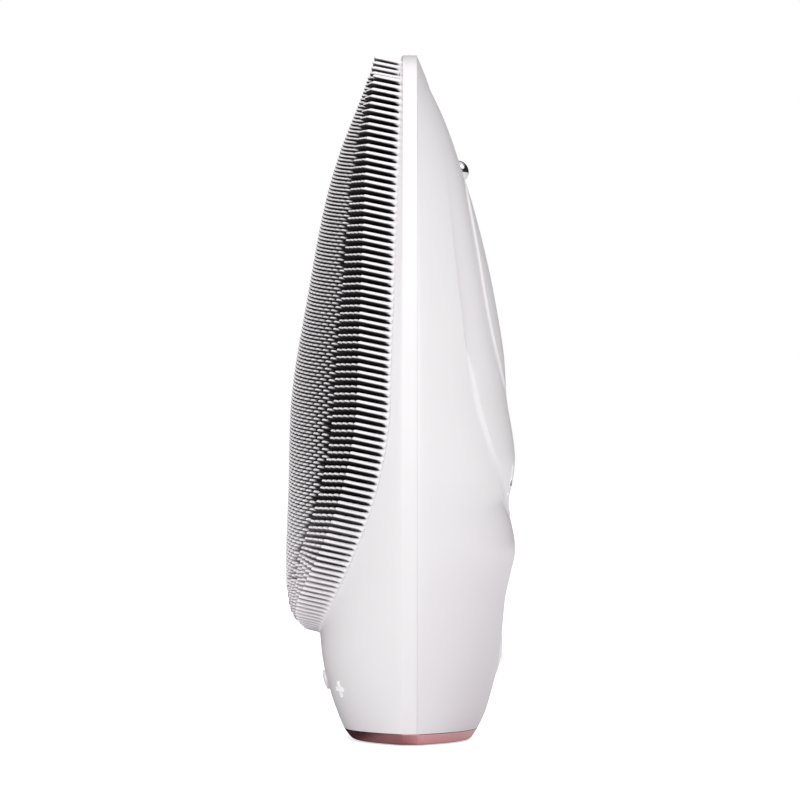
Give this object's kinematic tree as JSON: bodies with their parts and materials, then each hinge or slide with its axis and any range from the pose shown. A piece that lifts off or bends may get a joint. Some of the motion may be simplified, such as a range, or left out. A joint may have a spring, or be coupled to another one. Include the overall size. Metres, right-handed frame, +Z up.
{
  "type": "facial cleansing brush",
  "caption": "Hand-held facial cleansing brush with a leaf-shaped body, a silicone bristle pad on the front, press keys and a massage ball on the back.",
  "frame": {"origin": "centre of the flat face of the base cap that the brush stands on", "axes": "+Z up along the body, -Y out of the bristles, +Y out of the back, +X to the side of the plus key"},
  "size_m": [0.0726, 0.0426, 0.126],
  "materials": {
    "pearl": "satin pearl white",
    "silicone": "matt pearl silicone",
    "rose_gold": "rose gold anodised, satin",
    "chrome": "mirror polished",
    "steel": "plain",
    "brass": "turned",
    "gold_plate": "gold plated",
    "nylon": "moulded",
    "board": "solder mask",
    "black": "moulded",
    "seal": "soft",
    "cell": "shrink film",
    "lens": "clear",
    "wire": "insulated"
  },
  "bodies": {
    "casing": {"front_shell": "pearl", "back_shell": "pearl", "brush_pad": "silicone", "base_cap": "rose_gold", "base_gasket": "seal", "shell_seal": "seal", "contact_seal_left": "seal", "contact_seal_right": "seal", "charge_contact_left": "gold_plate", "charge_contact_right": "gold_plate", "base_screw_left": "steel", "base_screw_right": "steel", "inner_frame": "nylon", "front_board": "board", "rear_board": "board", "battery_cell": "cell", "indicator_lens_left": "lens", "indicator_lens_right": "lens", "indicator_led_left": "lens", "indicator_led_right": "lens", "motor_can": "steel", "motor_end_cap": "black", "motor_bush": "brass", "motor_clip": "nylon", "ball_cup": "nylon", "motor_lead": "wire", "battery_lead": "wire", "board_link": "black", "plus_switch": "black", "minus_switch": "black", "mode_switch": "black", "power_switch": "black", "frame_screw_left_low": "steel", "frame_screw_left_high": "steel", "frame_screw_right_low": "steel", "frame_screw_right_high": "steel"},
    "plus_key": {"plus_key": "silicone", "plus_plunger": "black"},
    "minus_key": {"minus_key": "silicone", "minus_plunger": "black"},
    "mode_key": {"mode_key": "pearl", "mode_plunger": "black"},
    "power_key": {"power_key": "pearl", "power_plunger": "black"},
    "rotor": {"motor_shaft": "steel", "motor_core": "brass", "eccentric_weight": "brass"},
    "ball": {"massage_ball": "chrome"}
  },
  "joints": [
    {"name": "plus_key_press", "type": "slide", "parent": "casing", "child": "plus_key", "axis": [-0.3766, 0.8828, 0.2807], "range_m": [0, 0.00035], "stiffness_N_per_m": 900},
    {"name": "minus_key_press", "type": "slide", "parent": "casing", "child": "minus_key", "axis": [0.3766, 0.8828, 0.2807], "range_m": [0, 0.00035], "stiffness_N_per_m": 900},
    {"name": "mode_key_press", "type": "slide", "parent": "casing", "child": "mode_key", "axis": [0, 0.9668, 0.2555], "range_m": [0, 0.00035], "stiffness_N_per_m": 900},
    {"name": "power_key_press", "type": "slide", "parent": "casing", "child": "power_key", "axis": [0, -0.9889, 0.1488], "range_m": [0, 0.00035], "stiffness_N_per_m": 900},
    {"name": "motor_spin", "type": "hinge", "parent": "casing", "child": "rotor", "pos_m": [0, 0.0074, 0.076], "axis": [0, 0, 1], "continuous": true},
    {"name": "ball_roll", "type": "hinge", "parent": "casing", "child": "ball", "pos_m": [0, 0.00876, 0.1043], "axis": [1, 0, 0], "continuous": true}
  ]
}
